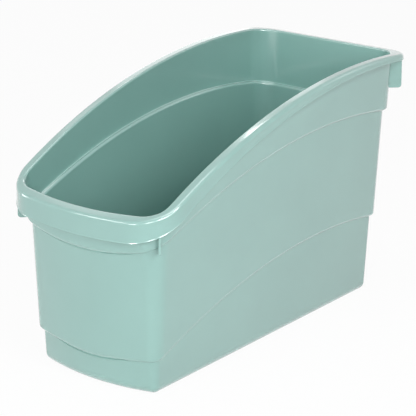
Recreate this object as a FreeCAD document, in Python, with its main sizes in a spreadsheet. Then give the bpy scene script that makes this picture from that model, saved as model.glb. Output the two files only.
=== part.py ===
import FreeCAD, Part
import math
import os
import re

import Sketcher

# An open storage tub: one moulding with a low bowed front, a high straight rear
# and a curved top line.  Its wall has three tiers, each standing out from the one
# below along a curved line, and a rim with a hanging skirt and four corner ribs.
# Frame: millimetres, X across the width, Y along the length with the front at -Y, Z up.
# The origin is on the resting plane, under the centre of the rim.

NODE = "tub_shell"

SIZES = {
    # outline of the lower tier at the resting plane
    "base_width": 103.6,
    "base_length": 277.0,
    "front_bow": 8.0,
    "draft_angle": 2.6,
    # how far each tier, and then the rim, stands out from the one below it
    "middle_outset": 3.0,
    "upper_outset": 3.3,
    "rim_outset": 7.0,
    # thicknesses; ledge_rise is the height of an inner ledge over its outer line
    "wall": 1.5,
    "floor_thickness": 2.4,
    "ledge_rise": 2.8,
    "rim_plate": 2.2,
    "skirt_wall": 1.8,
    # upright corner radii of the outside, and how much they gain per mm of height
    "front_corner": 6.0,
    "rear_corner": 4.0,
    "corner_gain": 0.05,
    "rim_front_corner": 30.1,
    "rim_rear_corner": 20.0,
    # the four curved lines seen from the side: a long arc falls from the apex to the
    # front end of the base length, and a straight slope goes on over the bowed front;
    # the turn is how much steeper the slope is there, and the blend is the arc between
    "lower_apex_z": 68.9,
    "lower_side_z": 23.6,
    "lower_apex_rear": 73.3,
    "lower_front_turn": 31.0,
    "lower_blend": 24.0,
    "rim_apex_z": 198.4,
    "rim_side_z": 139.4,
    "rim_apex_rear": 38.5,
    "rim_front_turn": -7.9,
    "rim_blend": 30.0,
    # the two lines that hang under the rim's line
    "upper_apex_drop": 41.7,
    "upper_side_drop": 26.6,
    "upper_apex_rear": 74.4,
    "upper_front_turn": 26.0,
    "upper_blend": 30.0,
    "skirt_apex_drop": 5.5,
    "skirt_side_drop": 13.8,
    "skirt_apex_rear": 28.7,
    "skirt_front_turn": -4.9,
    "skirt_blend": 30.0,
    # roundings
    "base_edge": 7.0,
    "floor_edge": 5.0,
    "step_edge": 3.0,
    "ledge_lip": 1.8,
    "rim_outer_edge": 3.0,
    "rim_inner_edge": 1.0,
    # ribs that hang under the rim's corners: rib_gap keeps them inside the rim's outer
    # face and the shift is how far the front pair stands behind the corner's diagonal
    "rib_thickness": 1.8,
    "rib_front_drop": 29.4,
    "rib_rear_drop": 30.9,
    "rib_front_shift": 4.4,
    "rib_gap": 0.4,
    "rib_corner": 2.5,
    # ring under the floor that the tub stands on
    "foot_width": 7.0,
    "foot_height": 1.2,
    # how far construction blocks reach past the tub, and start under the upper line
    "spare_height": 20.0,
    "spare_reach": 60.0,
    "spare_width": 120.0,
    "upper_start_drop": 35.5,
}

# lengths worked out from the driving dimensions, as formulas of the sheet
FORMULAS = {
    "taper": "=tan(draft_angle)",
    "body_outset": "=middle_outset + upper_outset",
    "full_outset": "=middle_outset + upper_outset + rim_outset",
    "centre_shift": "=taper * (rim_side_z - rim_apex_z) / 2",
    "upper_apex_z": "=rim_apex_z - upper_apex_drop",
    "upper_side_z": "=rim_side_z - upper_side_drop",
    "upper_start": "=upper_side_z - upper_start_drop",
    "skirt_apex_z": "=rim_apex_z - skirt_apex_drop",
    "skirt_side_z": "=rim_side_z - skirt_side_drop",
    "rib_front_bottom": "=rim_side_z - rib_front_drop",
    "rib_rear_bottom": "=rim_apex_z - rib_rear_drop",
    "clear_height": "=rim_apex_z + spare_height",
    "clear_reach": "=base_length / 2 + spare_reach",
    "clear_width": "=base_width + spare_width",
}
for line in ("lower", "upper", "skirt", "rim"):
    FORMULAS[line + "_apex_y"] = "=base_length / 2 - %s_apex_rear" % line
    FORMULAS[line + "_run"] = "=base_length - %s_apex_rear" % line
    FORMULAS[line + "_fall"] = "=%s_apex_z - %s_side_z" % (line, line)
    FORMULAS[line + "_radius"] = ("=(%s_run ^ 2 + %s_fall ^ 2) / (2 * %s_fall)"
                                  % (line, line, line))
    FORMULAS[line + "_front_slope"] = ("=asin(%s_run / %s_radius) / 1 deg + %s_front_turn"
                                       % (line, line, line))

Vector = FreeCAD.Vector
START, END, CENTRE = range(1, 4)
ORIGIN, Y_AXIS = range(-1, -3, -1)
# a face looks up or down, and an edge is upright, when its vertical share passes these
LEVEL_SHARE = 0.6
UPRIGHT_SHARE = 0.9
# how near, in mm, a corner point lies to a line or height that it belongs to
NEAR_LINE = 3.0
NEAR_HEIGHT = 0.01

doc = FreeCAD.newDocument("BrowserBin")
sheet = doc.addObject("Spreadsheet::Sheet", "Sizes")
for row, (alias, content) in enumerate({**SIZES, **FORMULAS}.items(), start=1):
    sheet.set("A%d" % row, alias)
    sheet.set("B%d" % row, str(content))
    sheet.setAlias("B%d" % row, alias)
doc.recompute()


# ---------------------------------------------------------------- sizes and constraints
def size(alias):
    return float(sheet.get(alias))


def spelled(expression):
    """The expression with the sheet's name put before each alias."""
    def prefix(match):
        word = match.group(0)
        return "Sizes." + word if word in SIZES or word in FORMULAS else word
    return re.sub(r"[a-z_][a-z0-9_]*", prefix, expression)


def bind(target, prop, expression):
    target.setExpression(prop, spelled(expression))


def number(expression):
    """The present value of an expression of the sheet's sizes."""
    probe = doc.addObject("App::FeaturePython", "Probe")
    probe.addProperty("App::PropertyFloat", "Result")
    bind(probe, "Result", expression)
    probe.recompute()
    result = probe.Result
    doc.removeObject(probe.Name)
    return result


def constrain(sketch, kind, places, expression=None):
    """Adds a constraint, bound to an expression where it has a value."""
    if expression is None:
        sketch.addConstraint(Sketcher.Constraint(kind, *places))
        return
    amount = number(expression)
    if kind == "Angle":
        amount = math.radians(amount)
    index = sketch.addConstraint(Sketcher.Constraint(kind, *places, amount))
    bind(sketch, "Constraints[%d]" % index, expression)


# ---------------------------------------------------------------- drafted blocks
def bow_radius(half):
    return "(((%s) ^ 2 + front_bow ^ 2) / (2 * front_bow))" % half


def spread(outset, height):
    """How far the wall stands outside the base outline at a height."""
    return "(%s + taper * (%s))" % (outset, height)


def half_width(outset, height):
    return "(base_width / 2 + %s)" % spread(outset, height)


def front_reach(outset, height):
    """Distance of the front's middle from the width axis."""
    return "(base_length / 2 - centre_shift + %s)" % spread(outset, height)


def rear_reach(outset, height):
    return "(base_length / 2 + centre_shift + %s)" % spread(outset, height)


def outline(name, outset, height):
    """Outline of the wall at a height: bowed front, straight sides and rear, sharp corners."""
    half = half_width(outset, height)
    front, rear = front_reach(outset, height), rear_reach(outset, height)
    half_now, front_now, rear_now = number(half), number(front), number(rear)
    radius_now = number(bow_radius(half))
    side_now = front_now - size("front_bow")
    swing = math.asin(half_now / radius_now)
    corners = [Vector(half_now, -side_now, 0), Vector(half_now, rear_now, 0),
               Vector(-half_now, rear_now, 0), Vector(-half_now, -side_now, 0)]

    sketch = doc.addObject("Sketcher::SketchObject", name)
    circle = Part.Circle(Vector(0, radius_now - front_now, 0), Vector(0, 0, 1), radius_now)
    sketch.addGeometry(Part.ArcOfCircle(circle, 1.5 * math.pi - swing, 1.5 * math.pi + swing))
    for first, second in zip(corners, corners[1:]):
        sketch.addGeometry(Part.LineSegment(first, second))
    bow, right, back, left = range(4)
    for before, after in ((bow, right), (right, back), (back, left), (left, bow)):
        constrain(sketch, "Coincident", (before, END, after, START))
    constrain(sketch, "Vertical", (right,))
    constrain(sketch, "Vertical", (left,))
    constrain(sketch, "Horizontal", (back,))
    constrain(sketch, "PointOnObject", (bow, CENTRE, Y_AXIS))
    constrain(sketch, "DistanceX", (ORIGIN, START, right, END), half)
    constrain(sketch, "DistanceX", (back, END, ORIGIN, START), half)
    constrain(sketch, "DistanceY", (ORIGIN, START, right, END), rear)
    constrain(sketch, "DistanceY", (right, START, ORIGIN, START), front + " - front_bow")
    constrain(sketch, "Radius", (bow,), bow_radius(half))
    bind(sketch, "Placement.Base.z", height)
    return sketch


def prism(name, outset, low):
    """Drafted block from a low height to over the rim, with sharp upright edges."""
    loft = doc.addObject("Part::Loft", name)
    loft.Sections = [outline(name + "Low", outset, low),
                     outline(name + "High", outset, "clear_height")]
    loft.Solid = True
    loft.Ruled = True
    doc.recompute()
    return loft


# ---------------------------------------------------------------- faces, edges, fillets
def outward_normal(face):
    u_low, u_high, v_low, v_high = face.ParameterRange
    return face.normalAt((u_low + u_high) / 2, (v_low + v_high) / 2)


def looks_up(face):
    return outward_normal(face).z > LEVEL_SHARE


def looks_down(face):
    return outward_normal(face).z < -LEVEL_SHARE


def boundary_edges(shape, wanted):
    """The edges round the wanted faces: index, edge and the face on the other side."""
    inside, outside = {}, {}
    for face in shape.Faces:
        group = inside if wanted(face) else outside
        for edge in face.Edges:
            group[edge.hashCode()] = face
    return [(index, edge, outside[edge.hashCode()])
            for index, edge in enumerate(shape.Edges, start=1)
            if edge.hashCode() in inside and edge.hashCode() in outside]


def fillet(name, base, radii):
    """Fillet of the base's edges: radii maps an edge's index to its two end radii."""
    feature = doc.addObject("Part::Fillet", name)
    feature.Base = base
    feature.Edges = [(index, first, last) for index, (first, last) in radii.items()]
    doc.recompute()
    return feature


def even(indices, radius):
    return {index: (radius, radius) for index in indices}


def is_upright(edge):
    first, last = edge.Vertexes[0].Point, edge.Vertexes[-1].Point
    return abs(first.z - last.z) > UPRIGHT_SHARE * edge.Length


def upright_radii(block, front_radii, rear_radii):
    """Radii for the four upright edges of a block, each pair given low end first."""
    radii = {}
    for index, edge in enumerate(block.Shape.Edges, start=1):
        if is_upright(edge):
            low, high = front_radii if edge.CenterOfMass.y < 0 else rear_radii
            rising = edge.Vertexes[0].Point.z < edge.Vertexes[-1].Point.z
            radii[index] = (low, high) if rising else (high, low)
    return radii


def wall_block(name, outset, low, front_low, bottom_edge=None):
    """Drafted block with rounded upright edges whose radii grow with height."""
    block = prism(name + "Sharp", outset, low)
    rise = "(clear_height - (%s))" % low
    rear_low = "rear_corner + %s + corner_gain * (%s)" % (outset, low)
    front = (number(front_low), number("%s + corner_gain * %s" % (front_low, rise)))
    rear = (number(rear_low), number("%s + corner_gain * %s" % (rear_low, rise)))
    radii = upright_radii(block, front, rear)
    if bottom_edge:
        bottom = boundary_edges(block.Shape, looks_down)
        radii.update(even([index for index, _, _ in bottom], size(bottom_edge)))
    return fillet(name, block, radii)


def rim_block(name, inset):
    """Drafted block inside the rim's outer face by an inset, with constant corner radii."""
    block = prism(name + "Sharp", "full_outset - (%s)" % inset, "upper_start")
    front = number("rim_front_corner - (%s)" % inset)
    rear = number("rim_rear_corner - (%s)" % inset)
    return fillet(name, block, upright_radii(block, (front, front), (rear, rear)))


# ---------------------------------------------------------------- curved lines
def is_hollow(line):
    """Whether the front slope is flatter than the end of the long arc."""
    return size(line + "_front_turn") < 0


def line_points(line, raised):
    """Present centres and joints of a curved line, as points of the side view."""
    long_radius, blend = size(line + "_radius"), size(line + "_blend")
    slope = math.radians(size(line + "_front_slope"))
    along = Vector(math.cos(slope), math.sin(slope), 0)
    upward = Vector(-math.sin(slope), math.cos(slope), 0)
    front = Vector(-size("base_length") / 2, size(line + "_side_z") + raised, 0)
    apex = Vector(size(line + "_apex_y"), size(line + "_apex_z") + raised, 0)
    long_centre = apex - Vector(0, long_radius, 0)
    # the blend's centre lies over a hollow joint and under a full one
    side = -1 if is_hollow(line) else 1
    start = front - upward * (side * blend) - long_centre
    shift = start.dot(along)
    root = math.sqrt(shift ** 2 - start.dot(start) + (long_radius - side * blend) ** 2)
    blend_centre = long_centre + start + along * (side * root - shift)
    front_joint = blend_centre + upward * (side * blend)
    outward = (blend_centre - long_centre).normalize()
    return front, long_centre, blend_centre, front_joint, long_centre + outward * long_radius


def angle_to(centre, point):
    return math.atan2(point.y - centre.y, point.x - centre.x)


def region_over(name, line, raise_by="0"):
    """Block over a curved line, wider and longer than the tub."""
    raised = number(raise_by)
    front, long_centre, blend_centre, front_joint, rear_joint = line_points(line, raised)
    reach, top = size("clear_reach"), number("clear_height + rim_plate")
    slope = math.radians(size(line + "_front_slope"))
    long_radius, blend = size(line + "_radius"), size(line + "_blend")
    low_front = Vector(-reach, front.y - math.tan(slope) * (reach + front.x), 0)
    rear_rise = math.sqrt(long_radius ** 2 - (reach - long_centre.x) ** 2)
    rear_end = Vector(reach, long_centre.y + rear_rise, 0)
    high_rear, high_front = Vector(reach, top, 0), Vector(-reach, top, 0)
    upright = Vector(0, 0, 1)
    blend_ends = sorted((angle_to(blend_centre, front_joint), angle_to(blend_centre, rear_joint)))
    long_ends = (angle_to(long_centre, rear_end), angle_to(long_centre, rear_joint))

    sketch = doc.addObject("Sketcher::SketchObject", name + "Line")
    # sketch X runs along the length and sketch Y upwards
    sketch.Placement.Rotation = FreeCAD.Rotation(Vector(1, 1, 1), 120)
    sketch.addGeometry([
        Part.LineSegment(low_front, front_joint),
        Part.ArcOfCircle(Part.Circle(blend_centre, upright, blend), *blend_ends),
        Part.ArcOfCircle(Part.Circle(long_centre, upright, long_radius), *long_ends),
        Part.LineSegment(rear_end, high_rear),
        Part.LineSegment(high_rear, high_front),
        Part.LineSegment(high_front, low_front),
    ])
    ramp, bend, sweep, back, lid, face = range(6)
    # an arc runs anticlockwise: a hollow blend starts at its front end
    bend_front, bend_rear = (START, END) if is_hollow(line) else (END, START)
    constrain(sketch, "Tangent", (ramp, END, bend, bend_front))
    constrain(sketch, "Tangent", (bend, bend_rear, sweep, END))
    for before, before_end, after in ((sweep, START, back), (back, END, lid),
                                      (lid, END, face), (face, END, ramp)):
        constrain(sketch, "Coincident", (before, before_end, after, START))
    constrain(sketch, "Vertical", (back,))
    constrain(sketch, "Vertical", (face,))
    constrain(sketch, "Horizontal", (lid,))
    constrain(sketch, "Radius", (bend,), line + "_blend")
    constrain(sketch, "Radius", (sweep,), line + "_radius")
    constrain(sketch, "DistanceX", (ORIGIN, START, sweep, CENTRE), line + "_apex_y")
    constrain(sketch, "DistanceY", (sweep, CENTRE, ORIGIN, START),
              "%s_radius - %s_apex_z - (%s)" % (line, line, raise_by))
    constrain(sketch, "DistanceX", (ORIGIN, START, back, END), "clear_reach")
    constrain(sketch, "DistanceY", (ORIGIN, START, back, END), "clear_height + rim_plate")
    constrain(sketch, "DistanceX", (face, END, ORIGIN, START), "clear_reach")
    constrain(sketch, "Angle", (ramp,), line + "_front_slope")
    constrain(sketch, "DistanceY", (face, END, face, START),
              "clear_height + rim_plate - %s_side_z - (%s) + tan(%s_front_slope) * spare_reach"
              % (line, raise_by, line))
    block = doc.addObject("Part::Extrusion", name)
    block.Base = sketch
    block.DirMode = "Normal"
    block.Solid = True
    block.Symmetric = True
    bind(block, "LengthFwd", "clear_width")
    return block


def boolean(kind, name, base, tool):
    feature = doc.addObject("Part::" + kind, name)
    feature.Base = base
    feature.Tool = tool
    doc.recompute()
    return feature


def joined(name, shapes):
    feature = doc.addObject("Part::MultiFuse", name)
    feature.Shapes = shapes
    doc.recompute()
    return feature


def kept_over(name, block, line, raise_by="0"):
    """What a block has over one of the curved lines."""
    return boolean("Common", name, block, region_over(name + "Region", line, raise_by))


def with_rounded_step(name, block):
    """The block with the edge round its sloping underside rounded."""
    under = boundary_edges(block.Shape, looks_down)
    return fillet(name, block, even([index for index, _, _ in under], size("step_edge")))


# ---------------------------------------------------------------- outside of the wall
MIDDLE_CORNER = "front_corner + middle_outset"
UPPER_CORNER = "front_corner + body_outset + corner_gain * upper_start"


def make_outer_wall():
    lower = wall_block("LowerTier", "0", "0", "front_corner", "base_edge")
    middle_block = wall_block("MiddleBlock", "middle_outset", "0", MIDDLE_CORNER)
    middle = with_rounded_step("MiddleTier", kept_over("MiddleCut", middle_block, "lower"))
    upper_block = wall_block("UpperBlock", "body_outset", "upper_start", UPPER_CORNER)
    upper = with_rounded_step("UpperTier", kept_over("UpperCut", upper_block, "upper"))
    return [lower, middle, upper]


def make_rim():
    """Top plate over the whole tub with the skirt that hangs from its edge."""
    solid_rim = kept_over("RimSolid", rim_block("RimBlock", "0"), "skirt")
    under_plate = boolean("Cut", "RimHollow", rim_block("HollowBlock", "skirt_wall"),
                          region_over("PlateRegion", "rim", "-rim_plate"))
    return boolean("Cut", "RimRing", solid_rim, under_plate)


def make_rib(name, across, along, bottom, limit):
    """Upright rib along a rim corner's diagonal; across and along are the corner's signs."""
    half = half_width("full_outset", bottom)
    if along < 0:
        corner, shift = "rim_front_corner", "rib_front_shift"
        bow = bow_radius(half)
        corner_y = ("%s - %s - sqrt((%s - %s) ^ 2 - (%s - %s) ^ 2)"
                    % (bow, front_reach("full_outset", bottom), bow, corner, half, corner))
    else:
        corner, shift = "rim_rear_corner", "0"
        corner_y = "%s - %s" % (rear_reach("full_outset", bottom), corner)
    side_step = "(%d * rib_thickness / 2 + %s) / sqrt(2)" % (across * along, shift)
    box = doc.addObject("Part::Box", name + "Box")
    bind(box, "Length", corner + " + rim_outset")
    bind(box, "Width", "rib_thickness")
    bind(box, "Height", "clear_height - " + bottom)
    diagonal = math.degrees(math.atan2(along, across))
    box.Placement.Rotation = FreeCAD.Rotation(Vector(0, 0, 1), diagonal)
    bind(box, "Placement.Base.x", "%d * (%s - %s + %s)" % (across, half, corner, side_step))
    bind(box, "Placement.Base.y", "%s - %d * %s" % (corner_y, along, side_step))
    bind(box, "Placement.Base.z", bottom)
    trimmed = boolean("Common", name + "Trimmed", box, limit)
    ends = [(math.hypot(edge.CenterOfMass.x, edge.CenterOfMass.y), index)
            for index, edge in enumerate(trimmed.Shape.Edges, start=1)
            if abs(edge.CenterOfMass.z - size(bottom)) < NEAR_HEIGHT]
    outermost = max(ends)[1]
    return fillet(name, trimmed, even([outermost], size("rib_corner")))


def make_ribs():
    limit = rim_block("RibLimit", "rib_gap")
    corners = {"FrontRight": (1, -1, "rib_front_bottom"), "FrontLeft": (-1, -1, "rib_front_bottom"),
               "RearRight": (1, 1, "rib_rear_bottom"), "RearLeft": (-1, 1, "rib_rear_bottom")}
    return [make_rib(name + "Rib", across, along, bottom, limit)
            for name, (across, along, bottom) in corners.items()]


# ---------------------------------------------------------------- inside of the wall
def ledge_lips(shape):
    """Edges where a ledge of the inner space meets the wall under it."""
    floor_top = number("floor_thickness + floor_edge")

    def is_ledge(face):
        return looks_down(face) and face.BoundBox.ZMin > floor_top

    return [index for index, edge, wall in boundary_edges(shape, is_ledge)
            if wall.CenterOfMass.z < edge.CenterOfMass.z]


def make_space():
    """The inner space, offset from the outside by the wall and floor thickness."""
    floor_gain = " + corner_gain * floor_thickness - wall"
    lower = wall_block("LowerSpace", "0 - wall", "floor_thickness",
                       "front_corner" + floor_gain, "floor_edge")
    middle_block = wall_block("MiddleSpaceBlock", "middle_outset - wall", "floor_thickness",
                              MIDDLE_CORNER + floor_gain)
    middle = kept_over("MiddleSpace", middle_block, "lower", "ledge_rise")
    upper_block = wall_block("UpperSpaceBlock", "body_outset - wall", "upper_start",
                             UPPER_CORNER + " - wall")
    upper = kept_over("UpperSpace", upper_block, "upper", "ledge_rise")
    whole = joined("Space", [lower, middle, upper])
    return fillet("RoundedSpace", whole, even(ledge_lips(whole.Shape), size("ledge_lip")))


# ---------------------------------------------------------------- the whole tub
def rim_height(along):
    """Height of the rim's top line at a place along the length."""
    radius = size("rim_radius")
    drop = radius - math.sqrt(radius ** 2 - (along - size("rim_apex_y")) ** 2)
    slope = math.tan(math.radians(size("rim_front_slope")))
    beyond = along + size("base_length") / 2
    return max(size("rim_apex_z") - drop, size("rim_side_z") + slope * beyond)


def on_rim_line(edge):
    points = [corner.Point for corner in edge.Vertexes]
    return all(abs(point.z - rim_height(point.y)) < NEAR_LINE for point in points)


def faces_inward(face):
    middle, normal = face.CenterOfMass, outward_normal(face)
    return middle.x * normal.x + middle.y * normal.y < 0


def make_tub():
    outside = joined("Outside", make_outer_wall() + [make_rim()] + make_ribs())
    topped = boolean("Cut", "Topped", outside, region_over("OverRim", "rim"))
    outer_top = [index for index, edge, _ in boundary_edges(topped.Shape, looks_up)]
    rounded = fillet("RoundedRim", topped, even(outer_top, size("rim_outer_edge")))
    opened = boolean("Cut", "Opened", rounded, make_space())
    inner_top = [index for index, edge, wall in boundary_edges(opened.Shape, looks_up)
                 if on_rim_line(edge) and faces_inward(wall)]
    eased = fillet("EasedRim", opened, even(inner_top, size("rim_inner_edge")))
    recess = doc.addObject("Part::Extrusion", "FootRecess")
    recess.Base = outline("FootOutline", "0 - base_edge - foot_width", "0")
    recess.DirMode = "Normal"
    recess.Solid = True
    bind(recess, "LengthFwd", "foot_height")
    return boolean("Cut", NODE, eased, recess)


tub = make_tub()
tub.Label = NODE
doc.recompute()

faults = [item.Name for item in doc.Objects
          if "Invalid" in item.State or "Error" in item.State]
if faults:
    raise RuntimeError("failed objects: " + ", ".join(faults))
if tub.Shape.isNull() or not tub.Shape.isValid() or len(tub.Shape.Solids) != 1:
    raise RuntimeError("the tub is not one valid solid")

os.makedirs("parts", exist_ok=True)
tub.Shape.exportStep(os.path.join("parts", NODE + ".step"))
print("%s: volume %.0f mm3, faces %d" % (NODE, tub.Shape.Volume, len(tub.Shape.Faces)))
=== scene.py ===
import math

import bpy
from mathutils import Matrix, Vector


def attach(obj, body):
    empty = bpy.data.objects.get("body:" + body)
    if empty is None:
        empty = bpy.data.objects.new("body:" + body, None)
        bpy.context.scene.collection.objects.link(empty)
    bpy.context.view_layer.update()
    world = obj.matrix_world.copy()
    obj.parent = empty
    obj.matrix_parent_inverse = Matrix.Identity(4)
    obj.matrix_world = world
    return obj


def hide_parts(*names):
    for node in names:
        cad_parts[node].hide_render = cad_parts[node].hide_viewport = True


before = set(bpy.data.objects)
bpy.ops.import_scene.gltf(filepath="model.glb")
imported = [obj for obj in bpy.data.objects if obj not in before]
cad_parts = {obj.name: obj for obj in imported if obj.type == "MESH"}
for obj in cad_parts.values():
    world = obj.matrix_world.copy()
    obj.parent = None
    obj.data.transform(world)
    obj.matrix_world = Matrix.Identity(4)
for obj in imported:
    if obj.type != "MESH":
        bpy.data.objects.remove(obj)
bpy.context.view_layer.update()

MM = 0.001                                   # metres in a millimetre

# ------------------------------------------------------------------ sizes, in millimetres
# Most are the part's own. Some differ from the part's by tenths: WALL (1.5 there), FULL
# (13.3), RIM_FRONT (30.1), RIM_INNER (1.0), the rim's apex (198.4) and RIB_GAP (0.4).
# INNER_CORNER_LOSS, BEAD and the small eases are only in this mesh.
BASE_WIDTH, BASE_LENGTH, FRONT_BOW = 103.6, 277.0, 8.0
DRAFT = math.radians(2.6)
MIDDLE, BODY, FULL = 3.0, 6.3, 12.9          # outsets of the tiers and the rim
# thicknesses, PLATE being the rim's, and an inner ledge's height over its outer line
WALL, FLOOR, PLATE, SKIRT, LEDGE_RISE = 1.4, 2.4, 2.2, 1.8, 2.8
FRONT_CORNER, REAR_CORNER, CORNER_GAIN = 6.0, 4.0, 0.05
INNER_CORNER_LOSS = 1.8                      # of the upper tier's inner front corners
RIM_FRONT, RIM_REAR = 30.6, 20.0             # corner radii of the rim
BASE_EDGE, FLOOR_EDGE, STEP_EDGE, LEDGE_LIP = 7.0, 5.0, 3.0, 1.8
RIM_OUTER, RIM_INNER, SKIRT_EDGE, HEM_EDGE = 3.0, 1.4, 0.4, 0.35
EASE = 0.7                                   # rounding between a wall and its ledge
RIB_THICK, RIB_FRONT, RIB_REAR, RIB_SHIFT = 1.8, 110.0, 167.5, 4.4
RIB_GAP, RIB_CORNER, RIB_BEVEL = 0.3, 2.5, 0.35
FOOT_WIDTH, FOOT_HEIGHT = 7.0, 1.2
# curved lines: apex from the rear, apex height, height at the front, turn, blend
LINES = {
    "lower": (73.3, 68.9, 23.6, 31.0, 24.0),
    "upper": (74.4, 156.7, 112.8, 26.0, 30.0),
    "skirt": (28.7, 192.9, 125.6, -4.9, 30.0),
    "rim": (38.5, 198.3, 139.4, -7.9, 30.0),
}
TAPER = math.tan(DRAFT)
SHIFT = TAPER * (LINES["rim"][2] - LINES["rim"][1]) / 2

# lip along the skirt's lower edge: how far it stands out, its height, and its face as
# shares of both
BEAD, BEAD_RISE = 0.25, 1.3
BEAD_FACE = ((0.9, 0.45), (0.3, 0.8), (0.0, 1.0))

# underside: flat of the recess, chamfer and flat of the ring it stands on, flat of the floor
RECESS_FLAT, RING_CHAMFER, RING_FLAT, FLOOR_FLAT = 0.3, 0.25, 0.6, 0.8
# corner radii there, and the least ones of the base's edge, the floor's edge and a wall
RECESS_CORNER, CHAMFER_CORNER, RING_CORNER, FLOOR_CORNER = 0.8, 1.0, 1.2, 1.0
BASE_LEAST, FLOOR_LEAST, WALL_LEAST = 1.6, 1.2, 0.5
# under a step, and under the rim: where the last point of the wall stands, the cut
# between wall and underside, the first point beyond it, and the cut before the skirt
STEP_LEAD = 0.25
NOOK_LEAD, NOOK_CUT, NOOK_FLAT, ROOF_CUT = 0.5, 0.15, 0.6, 0.4
SKIRT_LEAST = 1.0                            # depth the skirt's inside has at least

# ribs: how far inside the outer end the rim's and the step's heights are taken, and the
# top ends; how far over the step's line and its rounding the inner end changes tiers
RIB_TOP_BACK, RIB_STEP_BACK, RIB_TOP_EASE = 4.0, 10.0, 0.5
RIB_OVER_LINE, RIB_OVER_STEP = 1.0, 1.5

# how finely each stretch of the outline and each rounding is divided
STRETCHES = (("bow", 14), ("front", 18), ("side", 64), ("rear", 14), ("back", 6))
OUTER_WALL_STEPS, INNER_WALL_STEPS = 5, 6
FACE_SHARES = (0.15, 0.5, 0.85)              # points between the ends of the rim's faces
EDGE_STEPS, LIP_STEPS, NOOK_STEPS = 9, 7, 4
RIM_OUTER_STEPS, RIM_INNER_STEPS, SKIRT_STEPS, HEM_STEPS = 10, 6, 4, 3
RIB_STEPS, BEVEL_STEPS = 6, 3
MEET_ROUNDS = 12                             # repeats until a wall's height is settled
PROBE = 0.05                                 # half the reach over which a rise is measured

# edges sharper than these angles stay sharp, or get the ribs' bevel
TUB_SHARP, RIB_SHARP, BEVEL_SHARP = 40, 35, 40


# ------------------------------------------------------------------ curved lines
class Line:
    """A curved line of the side view: front slope, blend arc and long arc."""

    def __init__(self, apex_rear, apex_z, side_z, turn, blend):
        run, fall = BASE_LENGTH - apex_rear, apex_z - side_z
        self.radius = (run ** 2 + fall ** 2) / (2 * fall)
        self.apex_y, self.apex_z = BASE_LENGTH / 2 - apex_rear, apex_z
        slope = math.asin(run / self.radius) + math.radians(turn)
        self.slope = math.tan(slope)
        self.front_y, self.side_z = -BASE_LENGTH / 2, side_z
        along = Vector((math.cos(slope), math.sin(slope)))
        upward = Vector((-math.sin(slope), math.cos(slope)))
        self.side = -1 if turn < 0 else 1
        centre = Vector((self.apex_y, apex_z - self.radius))
        start = Vector((self.front_y, side_z)) - upward * (self.side * blend) - centre
        shift = start.dot(along)
        root = math.sqrt(shift ** 2 - start.dot(start) + (self.radius - self.side * blend) ** 2)
        self.blend = blend
        self.middle = centre + start + along * (self.side * root - shift)
        self.ramp_end = (self.middle + upward * (self.side * blend)).x
        self.arc_start = (centre + (self.middle - centre).normalized() * self.radius).x

    def height(self, y):
        if y < self.ramp_end:
            return self.side_z + self.slope * (y - self.front_y)
        if y < self.arc_start:
            rise = math.sqrt(max(self.blend ** 2 - (y - self.middle.x) ** 2, 0.0))
            return self.middle.y + self.side * rise
        return self.apex_z - self.radius + math.sqrt(self.radius ** 2 - (y - self.apex_y) ** 2)

    def rise(self, y):
        return (self.height(y + PROBE) - self.height(y - PROBE)) / (2 * PROBE)


lines = {name: Line(*values) for name, values in LINES.items()}


# ------------------------------------------------------------------ plan outline
# an offset is how far a wall stands out from the lower tier's; a spread has the draft's
# gain at the point's height in it as well
def wall_corners(offset, height, inner=0.0):
    """Corner radii of the wall: the upper tier's inside, where inner is 1, is tighter."""
    front = FRONT_CORNER + offset + CORNER_GAIN * height - INNER_CORNER_LOSS * inner
    rear = REAR_CORNER + offset + CORNER_GAIN * height
    return max(front, WALL_LEAST), max(rear, WALL_LEAST)


def tier(inner):
    """Corner radii of a wall whose inside is tighter by a share."""
    return lambda offset, height: wall_corners(offset, height, inner)


def ledge(low_offset, high_offset, high_inner):
    """Corner radii over a ledge, from those of the wall below to those of the wall above."""
    def corners(offset, height):
        share = min(max((offset - low_offset) / (high_offset - low_offset), 0.0), 1.0)
        return wall_corners(offset, height, high_inner * share)
    return corners


def at_least(least):
    """Corner radii of the wall, or the least one where the wall's are smaller."""
    return lambda offset, height: tuple(max(r, least) for r in wall_corners(offset, height))


def rim_corners(inset):
    return RIM_FRONT - inset, RIM_REAR - inset


def rim_face(_offset, _height):
    """Corner radii of the rim's outer face, the same at every height."""
    return rim_corners(0.0)


def stations():
    """Places round the right half of the outline, from the front's middle to the rear's."""
    places = [(part, i / steps) for part, steps in STRETCHES for i in range(steps)]
    return places + [(STRETCHES[-1][0], 1.0)]


def plan(place, offset, height, corners):
    """Plan position and outward direction at a place of the outline."""
    part, t = place
    front_radius, rear_radius = corners
    spread = offset + TAPER * height
    half = BASE_WIDTH / 2 + spread
    front, rear = BASE_LENGTH / 2 - SHIFT + spread, BASE_LENGTH / 2 + SHIFT + spread
    bow = (half ** 2 + FRONT_BOW ** 2) / (2 * FRONT_BOW)
    bow_y = bow - front
    corner_x = half - front_radius
    corner_y = bow_y - math.sqrt((bow - front_radius) ** 2 - corner_x ** 2)
    swing = math.atan2(corner_x, bow_y - corner_y)
    if part == "bow":
        angle = swing * t - math.pi / 2
        return bow * math.cos(angle), bow_y + bow * math.sin(angle), angle
    if part == "front":
        angle = (swing - math.pi / 2) * (1 - t)
        return (corner_x + front_radius * math.cos(angle),
                corner_y + front_radius * math.sin(angle), angle)
    if part == "side":
        return half, corner_y + (rear - rear_radius - corner_y) * t, 0.0
    if part == "rear":
        angle = math.pi / 2 * t
        return (half - rear_radius + rear_radius * math.cos(angle),
                rear - rear_radius + rear_radius * math.sin(angle), angle)
    return (half - rear_radius) * (1 - t), rear, math.pi / 2


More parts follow.
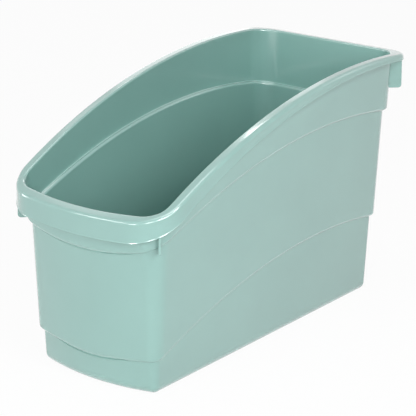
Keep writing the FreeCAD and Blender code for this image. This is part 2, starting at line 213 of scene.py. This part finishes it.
def meet(place, offset, corners_of, line, raised):
    """Height at which a wall meets a raised curved line, and the line's fall outwards."""
    height = line.side_z
    for _ in range(MEET_ROUNDS):
        _, y, angle = plan(place, offset, height, corners_of(offset, height))
        height = line.height(y) + raised
    return height, line.rise(y) * math.sin(angle)


# ------------------------------------------------------------------ sections of the wall
def unit(x, z):
    length = math.hypot(x, z)
    return x / length, z / length


def arc(corner, first, second, radius, steps, quarter=False):
    """Rounding of a section's corner, from the side along first to the one along second.
    A quarter starts square to second, wherever first points."""
    half = math.acos(max(-1.0, min(1.0, first[0] * second[0] + first[1] * second[1]))) / 2
    bisector = unit(first[0] + second[0], first[1] + second[1])
    reach = radius / math.sin(half)
    cx, cz = corner[0] + bisector[0] * reach, corner[1] + bisector[1] * reach
    length = radius / math.tan(half)
    start = (corner[0] + first[0] * length - cx, corner[1] + first[1] * length - cz)
    end = (corner[0] + second[0] * length - cx, corner[1] + second[1] * length - cz)
    if quarter:
        start = (-second[0] * radius, -second[1] * radius)
    a0, a1 = math.atan2(start[1], start[0]), math.atan2(end[1], end[0])
    turn = (a1 - a0 + math.pi) % (2 * math.pi) - math.pi
    return [(cx + radius * math.cos(a0 + turn * i / steps),
             cz + radius * math.sin(a0 + turn * i / steps)) for i in range(steps + 1)]


UP = (math.sin(DRAFT), math.cos(DRAFT))
DOWN = (-UP[0], -UP[1])


class Section:
    """Points of the moulding's section at a place, from the recess under the floor, up the
    outside, over the rim and down the inside to the floor."""

    def __init__(self, place):
        self.place, self.points = place, []
        # the rim's outer face stands upright under its top line, and the skirt's inside with it
        self.top, self.top_fall = meet(place, FULL, rim_face, lines["rim"], 0.0)
        self.face = FULL + TAPER * self.top
        self.underside()
        self.outer_tiers()
        self.rim_underside()
        self.skirt()
        self.rim()
        self.inner_tiers()
        self.floor()

    def add(self, offset, height, corners):
        x, y, _ = plan(self.place, offset, height, corners)
        self.points.append((x, y, height))

    def add_spread(self, spread, height, corners_of):
        offset = spread - TAPER * height
        self.add(offset, height, corners_of(offset, height))

    def add_arc(self, rounding, corners_of):
        for spread, height in rounding:
            self.add_spread(spread, height, corners_of)

    def add_wall(self, offset, end, corners_of, steps):
        """Points from the last one up or down a wall, closest near its ends."""
        start = self.points[-1][2]
        for i in range(1, steps):
            share = 0.5 - 0.5 * math.cos(math.pi * i / steps)
            height = start + (end - start) * share
            self.add(offset, height, corners_of(offset, height))

    def rim_of(self, offset, height):
        """Corner radii of the rim and the skirt, at one distance inside the rim's face."""
        return rim_corners(self.face - offset - TAPER * height)

    def rim_height(self, spread, line, raised):
        """Height of a curved line over the rim's outline at a spread, and its fall."""
        _, y, angle = plan(self.place, spread, 0.0, rim_corners(self.face - spread))
        return line.height(y) + raised, line.rise(y) * math.sin(angle)

    def underside(self):
        """Edge of the recess, the ring round it and the base's edge."""
        ring = -BASE_EDGE - FOOT_WIDTH
        self.add(ring - RECESS_FLAT, FOOT_HEIGHT, (RECESS_CORNER, RECESS_CORNER))
        self.add(ring, FOOT_HEIGHT, (RECESS_CORNER, RECESS_CORNER))
        self.add(ring, RING_CHAMFER, (RECESS_CORNER, RECESS_CORNER))
        self.add(ring + RING_CHAMFER, 0.0, (CHAMFER_CORNER, CHAMFER_CORNER))
        self.add(ring + RING_FLAT, 0.0, (RING_CORNER, RING_CORNER))
        self.add_arc(arc((0.0, 0.0), (-1.0, 0.0), UP, BASE_EDGE, EDGE_STEPS), at_least(BASE_LEAST))

    def outer_tiers(self):
        """The lower and the middle wall, each with the step out to the next tier."""
        for offset, outset, name in ((0.0, MIDDLE, "lower"), (MIDDLE, BODY, "upper")):
            height, fall = meet(self.place, outset, wall_corners, lines[name], 0.0)
            corner = (outset + TAPER * height, height)
            step = arc(corner, unit(-1.0, -fall), UP, STEP_EDGE, EDGE_STEPS, quarter=True)
            foot = step[0][1]
            self.add_wall(offset, foot - STEP_LEAD, wall_corners, OUTER_WALL_STEPS)
            self.add(offset, foot - STEP_LEAD, wall_corners(offset, foot))
            self.add_arc(step, wall_corners)

    def rim_underside(self):
        """The upper wall, up to the rim's underside and out to the skirt."""
        plate, _ = meet(self.place, BODY, wall_corners, lines["rim"], -PLATE)
        self.add_wall(BODY, plate, wall_corners, OUTER_WALL_STEPS)
        corners = wall_corners(BODY, plate)
        self.add(BODY, plate - NOOK_LEAD, corners)
        self.add(BODY + NOOK_CUT, plate - NOOK_CUT, corners)
        self.add(BODY + NOOK_FLAT, plate, corners)
        inner = self.face - SKIRT
        roof, _ = self.rim_height(inner, lines["rim"], -PLATE)
        self.add_spread(inner - ROOF_CUT, roof, self.rim_of)
        self.add_spread(inner, roof - ROOF_CUT, self.rim_of)

    def skirt(self):
        """Down the skirt's inside, round its lower edge and over the lip on its outside."""
        inner = self.face - SKIRT
        roof, _ = self.rim_height(inner, lines["rim"], -PLATE)
        hem, fall = self.rim_height(inner, lines["skirt"], 0.0)
        hem = min(hem, roof - SKIRT_LEAST)
        self.add_spread(inner, (roof + hem) / 2, self.rim_of)
        self.add_arc(arc((inner, hem), (0.0, 1.0), unit(1.0, fall), HEM_EDGE, HEM_STEPS),
                     self.rim_of)
        hem, fall = self.rim_height(self.face, lines["skirt"], 0.0)
        self.add_arc(arc((self.face + BEAD, hem), unit(-1.0, -fall), (0.0, 1.0), SKIRT_EDGE,
                         SKIRT_STEPS), self.rim_of)
        for out, rise in BEAD_FACE:
            self.add_spread(self.face + BEAD * out, hem + BEAD_RISE * rise, self.rim_of)

    def rim(self):
        """The rim's outer face and rounding, its top and its inner rounding."""
        over = arc((self.face, self.top), (0.0, -1.0), unit(-1.0, -self.top_fall), RIM_OUTER,
                   RIM_OUTER_STEPS)
        low = self.points[-1][2]
        for share in FACE_SHARES:
            self.add_spread(self.face, low + (over[0][1] - low) * share, self.rim_of)
        self.add_arc(over, self.rim_of)
        inside = BODY - WALL
        crest, fall = meet(self.place, inside, tier(1.0), lines["rim"], 0.0)
        lip = arc((inside + TAPER * crest, crest), unit(1.0, fall), DOWN, RIM_INNER,
                  RIM_INNER_STEPS)
        first, last = over[-1], lip[0]

        def across(offset, height):
            """Corner radii over the rim's top, from the inner wall's to the rim's own."""
            share = min(max((offset + TAPER * height - last[0]) / (first[0] - last[0]), 0.0), 1.0)
            pairs = zip(wall_corners(offset, height, 1.0), self.rim_of(offset, height))
            return tuple(a + (b - a) * share for a, b in pairs)

        for share in FACE_SHARES:
            self.add_spread(first[0] + (last[0] - first[0]) * share,
                            first[1] + (last[1] - first[1]) * share, across)
        self.add_arc(lip, across)

    def inner_tiers(self):
        """Down the upper and the middle wall's inside, each to its ledge and over the lip."""
        for offset, inset, name, tight in ((BODY - WALL, MIDDLE - WALL, "upper", 1.0),
                                           (MIDDLE - WALL, -WALL, "lower", 0.0)):
            shelf, fall = meet(self.place, offset, tier(tight), lines[name], LEDGE_RISE)
            self.add_wall(offset, shelf + EASE, tier(tight), INNER_WALL_STEPS)
            nook = arc((offset + TAPER * shelf, shelf), UP, unit(-1.0, -fall), EASE, NOOK_STEPS)
            edge, fall = meet(self.place, inset, wall_corners, lines[name], LEDGE_RISE)
            lip = arc((inset + TAPER * edge, edge), unit(1.0, fall), DOWN, LEDGE_LIP, LIP_STEPS)
            self.add_arc(nook + lip, ledge(inset, offset, tight))

    def floor(self):
        """Down the lower wall's inside and round onto the floor."""
        bottom = arc((-WALL + TAPER * FLOOR, FLOOR), UP, (-1.0, 0.0), FLOOR_EDGE, EDGE_STEPS)
        self.add_wall(-WALL, bottom[0][1], wall_corners, INNER_WALL_STEPS)
        self.add_arc(bottom, at_least(FLOOR_LEAST))
        self.add(-WALL - FLOOR_EDGE - FLOOR_FLAT, FLOOR, (FLOOR_CORNER, FLOOR_CORNER))


# ------------------------------------------------------------------ meshes
def make_object(name, verts, faces):
    """A mesh object from points in millimetres."""
    mesh = bpy.data.meshes.new(name)
    mesh.from_pydata([Vector(v) * MM for v in verts], [], faces)
    mesh.validate()
    mesh.update()
    obj = bpy.data.objects.new(name, mesh)
    bpy.context.scene.collection.objects.link(obj)
    return obj


def smooth(obj, degrees):
    mesh = obj.data
    mesh.polygons.foreach_set("use_smooth", [True] * len(mesh.polygons))
    mesh.set_sharp_from_angle(angle=math.radians(degrees))
    modifier = obj.modifiers.new("face weights", "WEIGHTED_NORMAL")
    modifier.keep_sharp = True


def make_tub():
    """The moulding as a skin over its sections, closed by the recess and the floor."""
    half = [Section(place).points for place in stations()]
    mirrored = [[(-x, y, z) for x, y, z in column] for column in half[-2:0:-1]]
    columns = half + mirrored
    count, rows = len(columns), len(columns[0])
    verts = [point for column in columns for point in column]
    faces = []
    for c in range(count):
        after = (c + 1) % count
        for r in range(rows - 1):
            faces.append((c * rows + r, after * rows + r, after * rows + r + 1, c * rows + r + 1))
    faces.append([c * rows for c in range(count)][::-1])
    faces.append([c * rows + rows - 1 for c in range(count)])
    return make_object("tub", verts, faces)


def rib_line(across, along, spread):
    """A rib's line in plan: its start, its direction and the distance to its outer end."""
    radii = rim_corners(RIB_GAP)
    radius, shift = (radii[0], RIB_SHIFT) if along < 0 else (radii[1], 0.0)
    side_end = ("front", 1.0) if along < 0 else ("rear", 0.0)
    x, y, _ = plan(side_end, spread, 0.0, radii)
    diagonal = Vector((across, along)).normalized()
    aside = Vector((across, -along)).normalized()
    start = Vector((across * (x - radius), y)) + aside * shift
    return start, diagonal, math.sqrt(radius ** 2 - shift ** 2)


def wall_reach(start, diagonal, across, offset, height):
    """How far along a rib's line it meets the wall's surface of an offset."""
    found, before = 0.0, None
    for place in stations():
        x, y, _ = plan(place, offset, height, wall_corners(offset, height))
        gap = Vector((across * x, y)) - start
        now = (gap.x * diagonal.y - gap.y * diagonal.x, gap.dot(diagonal))
        if before and before[0] * now[0] <= 0.0 and now[1] > 0.0:
            share = before[0] / (before[0] - now[0])
            found = before[1] + (now[1] - before[1]) * share
        before = now
    return found


def rib_outline(start, diagonal, reach, across, bottom):
    """Outline of a rib, as distances along its line and heights."""
    top = lines["rim"].height(start.y + diagonal.y * (reach - RIB_TOP_BACK)) - PLATE / 2
    step = lines["upper"].height(start.y + diagonal.y * (reach - RIB_STEP_BACK))

    def in_wall(height, outset):
        """Point in the middle of a wall's thickness."""
        return wall_reach(start, diagonal, across, outset - WALL / 2, height), height

    outline = []
    if bottom < step + STEP_EDGE:
        outline += [in_wall(bottom, MIDDLE), in_wall(step + RIB_OVER_LINE, MIDDLE),
                    in_wall(step + STEP_EDGE + RIB_OVER_STEP, BODY)]
    else:
        outline.append(in_wall(bottom, BODY))
    outline += [in_wall(top, BODY), (reach - RIB_TOP_EASE, top)]
    for i in range(RIB_STEPS + 1):
        angle = math.pi / 2 * (1 - i / RIB_STEPS)
        outline.append((reach - RIB_CORNER + RIB_CORNER * math.sin(angle),
                        bottom + RIB_CORNER - RIB_CORNER * math.cos(angle)))
    return outline


def make_rib(name, across, along, bottom):
    """Upright plate from inside the wall's thickness to just inside the rim's outer face."""
    mid_corner = ("front", 0.5) if along < 0 else ("rear", 0.5)
    crest, _ = meet(mid_corner, FULL, rim_face, lines["rim"], 0.0)
    start, diagonal, reach = rib_line(across, along, FULL + TAPER * crest - RIB_GAP)
    outline = rib_outline(start, diagonal, reach, across, bottom)
    side = Vector((-diagonal.y, diagonal.x, 0.0)) * (RIB_THICK / 2)
    verts = []
    for sign in (1, -1):
        for r, z in outline:
            spot = start + diagonal * r
            verts.append(Vector((spot.x, spot.y, z)) + side * sign)
    n = len(outline)
    faces = [list(range(n)), [n + i for i in range(n)][::-1]]
    for i in range(n):
        j = (i + 1) % n
        faces.append((j, i, n + i, n + j))
    rib = make_object(name, verts, faces)
    bevel = rib.modifiers.new("edge", "BEVEL")
    bevel.width, bevel.segments = RIB_BEVEL * MM, BEVEL_STEPS
    bevel.limit_method, bevel.angle_limit = "ANGLE", math.radians(BEVEL_SHARP)
    smooth(rib, RIB_SHARP)
    return rib


# ------------------------------------------------------------------ material
# the pigment's two tones, in linear colour, and the range of the roughness; the clear
# skin over them mirrors the white surround, so the tub renders lighter than its pigment
DEEP_TONE, PALE_TONE = (0.238, 0.432, 0.395, 1.0), (0.253, 0.455, 0.415, 1.0)
SMOOTHEST, ROUGHEST = 0.17, 0.22
PLASTIC_IOR = 1.6
SKIN_WEIGHT, SKIN_ROUGHNESS, SKIN_IOR = 1.0, 0.1, 1.65
NOISE_LOW, NOISE_HIGH = 0.3, 0.7             # where most of a noise's values lie


def noise(tree, scale, detail):
    """A noise over the object's own coordinates."""
    place = tree.nodes.new("ShaderNodeTexCoord")
    node = tree.nodes.new("ShaderNodeTexNoise")
    node.inputs["Scale"].default_value = scale
    node.inputs["Detail"].default_value = detail
    tree.links.new(place.outputs["Object"], node.inputs["Vector"])
    return node.outputs["Fac"]


def spread_over(tree, source, low, high):
    """A noise's values spread over a range."""
    node = tree.nodes.new("ShaderNodeMapRange")
    node.inputs["From Min"].default_value = NOISE_LOW
    node.inputs["From Max"].default_value = NOISE_HIGH
    node.inputs["To Min"].default_value = low
    node.inputs["To Max"].default_value = high
    tree.links.new(source, node.inputs["Value"])
    return node.outputs["Result"]


def bump(tree, source, strength, distance):
    """Relief from a noise, with a strength and a height in metres."""
    node = tree.nodes.new("ShaderNodeBump")
    node.inputs["Strength"].default_value = strength
    node.inputs["Distance"].default_value = distance
    tree.links.new(source, node.inputs["Height"])
    return node


def plastic(name):
    """Pigment, sheen and relief under a clear skin."""
    material = bpy.data.materials.new(name)
    material.use_nodes = True
    tree = material.node_tree
    shader = tree.nodes["Principled BSDF"]
    # pigment that is not quite even, from the melt's flow
    tone = tree.nodes.new("ShaderNodeMix")
    tone.data_type = "RGBA"
    tone.inputs["A"].default_value = DEEP_TONE
    tone.inputs["B"].default_value = PALE_TONE
    flow = spread_over(tree, noise(tree, scale=14.0, detail=3.0), 0.0, 1.0)
    tree.links.new(flow, tone.inputs["Factor"])
    tree.links.new(tone.outputs["Result"], shader.inputs["Base Color"])
    # sheen that varies a little over the polished tool's face
    sheen = spread_over(tree, noise(tree, scale=42.0, detail=4.0), SMOOTHEST, ROUGHEST)
    tree.links.new(sheen, shader.inputs["Roughness"])
    # slow waviness of the moulded face under a very fine grain
    wave = bump(tree, noise(tree, scale=22.0, detail=2.0), strength=0.25, distance=0.0006)
    grain = bump(tree, noise(tree, scale=2600.0, detail=2.0), strength=0.12, distance=0.00005)
    tree.links.new(wave.outputs["Normal"], grain.inputs["Normal"])
    tree.links.new(grain.outputs["Normal"], shader.inputs["Normal"])
    shader.inputs["IOR"].default_value = PLASTIC_IOR
    # polished skin over the pigment
    shader.inputs["Coat Weight"].default_value = SKIN_WEIGHT
    shader.inputs["Coat Roughness"].default_value = SKIN_ROUGHNESS
    shader.inputs["Coat IOR"].default_value = SKIN_IOR
    return material


# ------------------------------------------------------------------ the object
# the ribs: side of the tub, end of the tub and height of the lower end
RIBS = {
    "rib_front_right": (1, -1, RIB_FRONT),
    "rib_front_left": (-1, -1, RIB_FRONT),
    "rib_rear_right": (1, 1, RIB_REAR),
    "rib_rear_left": (-1, 1, RIB_REAR),
}
tub = make_tub()
smooth(tub, TUB_SHARP)
ribs = [make_rib(name, *values) for name, values in RIBS.items()]
green = plastic("tub plastic")
for piece in [tub] + ribs:
    piece.data.materials.append(green)
    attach(piece, "root")
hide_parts("tub_shell")

# ------------------------------------------------------------------ camera
# fitted to the tub's edges in the photograph: angles, focal length in pixels, and in
# millimetres the distance and how far the view's centre lies from the tub's middle
AZIMUTH, ELEVATION, ROLL = math.radians(37.136), math.radians(18.494), math.radians(0.691)
FOCAL, DISTANCE, ASIDE, ABOVE = 1823.126, 1366.892, -3.393, -6.292
IMAGE, SENSOR = 416.0, 36.0                  # picture in pixels, sensor in millimetres
NEAREST, FARTHEST = 0.05, 20.0               # clipping, in metres
TUB_MIDDLE = Vector((0.0, 0.0, 100.0))
back = Vector((math.sin(AZIMUTH) * math.cos(ELEVATION), -math.cos(AZIMUTH) * math.cos(ELEVATION),
               math.sin(ELEVATION)))
right = Vector((math.cos(AZIMUTH), math.sin(AZIMUTH), 0.0))
up = back.cross(right)
target = TUB_MIDDLE + right * ASIDE + up * ABOVE
turned_right = right * math.cos(ROLL) + up * math.sin(ROLL)
turned_up = up * math.cos(ROLL) - right * math.sin(ROLL)
camera_data = bpy.data.cameras.new("camera")
camera_data.sensor_width = SENSOR
camera_data.lens = FOCAL / IMAGE * SENSOR
camera_data.clip_start, camera_data.clip_end = NEAREST, FARTHEST
camera = bpy.data.objects.new("camera", camera_data)
bpy.context.scene.collection.objects.link(camera)
place = (target + back * DISTANCE) * MM
camera.matrix_world = Matrix((
    (turned_right.x, turned_up.x, back.x, place.x),
    (turned_right.y, turned_up.y, back.y, place.y),
    (turned_right.z, turned_up.z, back.z, place.z),
    (0.0, 0.0, 0.0, 1.0)))
bpy.context.scene.camera = camera


# ------------------------------------------------------------------ floor and world
FLOOR_REACH = 4000                           # millimetres from the middle to each side
FLOOR_COLOUR, FLOOR_ROUGHNESS = (0.9, 0.9, 0.9, 1.0), 0.9
FLOOR_WHITE = 0.95                           # how much of the floor's own shade is hidden
WHITE = (1.0, 1.0, 1.0, 1.0)


def seen_share(tree, amount):
    """The amount on rays that show the background: to the eye, in gloss and through glass."""
    path = tree.nodes.new("ShaderNodeLightPath")
    total = path.outputs["Is Camera Ray"]
    for name in ("Is Glossy Ray", "Is Transmission Ray"):
        most = tree.nodes.new("ShaderNodeMath")
        most.operation = "MAXIMUM"
        tree.links.new(total, most.inputs[0])
        tree.links.new(path.outputs[name], most.inputs[1])
        total = most.outputs["Value"]
    share = tree.nodes.new("ShaderNodeMath")
    share.operation = "MULTIPLY"
    share.inputs[1].default_value = amount
    tree.links.new(total, share.inputs[0])
    return share.outputs["Value"]


def two_ways(tree, lit, white, amount):
    """Mixes the white shader into the lit one on rays that show the background."""
    mix = tree.nodes.new("ShaderNodeMixShader")
    tree.links.new(seen_share(tree, amount), mix.inputs["Fac"])
    tree.links.new(lit, mix.inputs[1])
    tree.links.new(white, mix.inputs[2])
    return mix.outputs["Shader"]


def make_floor():
    """Pale floor that keeps a trace of the tub's shadow and otherwise shows white."""
    signs = ((-1, -1), (1, -1), (1, 1), (-1, 1))
    corners = [(x * FLOOR_REACH, y * FLOOR_REACH, 0) for x, y in signs]
    floor = make_object("floor", corners, [(0, 1, 2, 3)])
    material = bpy.data.materials.new("pale floor")
    material.use_nodes = True
    tree = material.node_tree
    matt = tree.nodes["Principled BSDF"]
    matt.inputs["Base Color"].default_value = FLOOR_COLOUR
    matt.inputs["Roughness"].default_value = FLOOR_ROUGHNESS
    glow = tree.nodes.new("ShaderNodeEmission")
    glow.inputs["Strength"].default_value = 1.0
    surface = two_ways(tree, matt.outputs["BSDF"], glow.outputs["Emission"], FLOOR_WHITE)
    tree.links.new(surface, tree.nodes["Material Output"].inputs["Surface"])
    floor.data.materials.append(material)
    return floor


def make_world():
    """World that shows white behind the tub and in its gloss, and lights nothing else."""
    world = bpy.data.worlds.new("studio")
    world.use_nodes = True
    tree = world.node_tree
    tree.nodes.clear()

    def background(strength):
        node = tree.nodes.new("ShaderNodeBackground")
        node.inputs["Color"].default_value = WHITE
        node.inputs["Strength"].default_value = strength
        return node.outputs["Background"]

    output = tree.nodes.new("ShaderNodeOutputWorld")
    surface = two_ways(tree, background(0.0), background(1.0), 1.0)
    tree.links.new(surface, output.inputs["Surface"])
    return world


make_floor()
bpy.context.scene.world = make_world()

# ------------------------------------------------------------------ lamps
# azimuth and elevation in degrees, distance, width and height in metres, power in watts
LAMPS = {
    "front low box": (-5, 12, 1.6, 0.4, 0.4, 5.3),
    "top box": (0, 85, 1.6, 0.9, 0.9, 5.5),
    "edge strip": (50, 64, 1.6, 0.25, 0.1, 0.8),
    "corner low box": (30, 12, 1.6, 0.4, 0.4, 2.3),
    "corner box": (30, 20, 1.6, 0.4, 0.4, 2.4),
    "side box": (55, 22, 0.95, 0.3, 0.3, 2.9),
    "side high box": (75, 42, 1.2, 0.25, 0.25, 3.3),
    "side low box": (80, 15, 1.2, 0.35, 0.35, 0.7),
    "left low box": (-60, 12, 1.6, 0.4, 0.4, 4.0),
    "left box": (-30, 25, 1.6, 0.4, 0.4, 2.4),
    "rear left box": (-120, 44, 1.6, 0.4, 0.3, 0.2),
    "rear low box": (-137, 22, 1.6, 0.5, 0.9, 1.0),
    "rear middle strip": (-136, 50, 1.6, 0.15, 0.15, 0.8),
    "rear right strip": (150, 30, 1.6, 0.3, 0.4, 0.6),
}


def lamp(name, azimuth, elevation, distance, width, height, power):
    """Soft box that looks at the tub's middle."""
    data = bpy.data.lights.new(name, "AREA")
    data.shape = "RECTANGLE"
    data.size, data.size_y = width, height
    data.energy = power
    obj = bpy.data.objects.new(name, data)
    bpy.context.scene.collection.objects.link(obj)
    a, e = math.radians(azimuth), math.radians(elevation)
    away = Vector((math.sin(a) * math.cos(e), -math.cos(a) * math.cos(e), math.sin(e)))
    obj.location = TUB_MIDDLE * MM + away * distance
    obj.rotation_euler = away.to_track_quat("Z", "Y").to_euler()


for name, values in LAMPS.items():
    lamp(name, *values)

view = bpy.context.scene.view_settings
view.view_transform = "Standard"
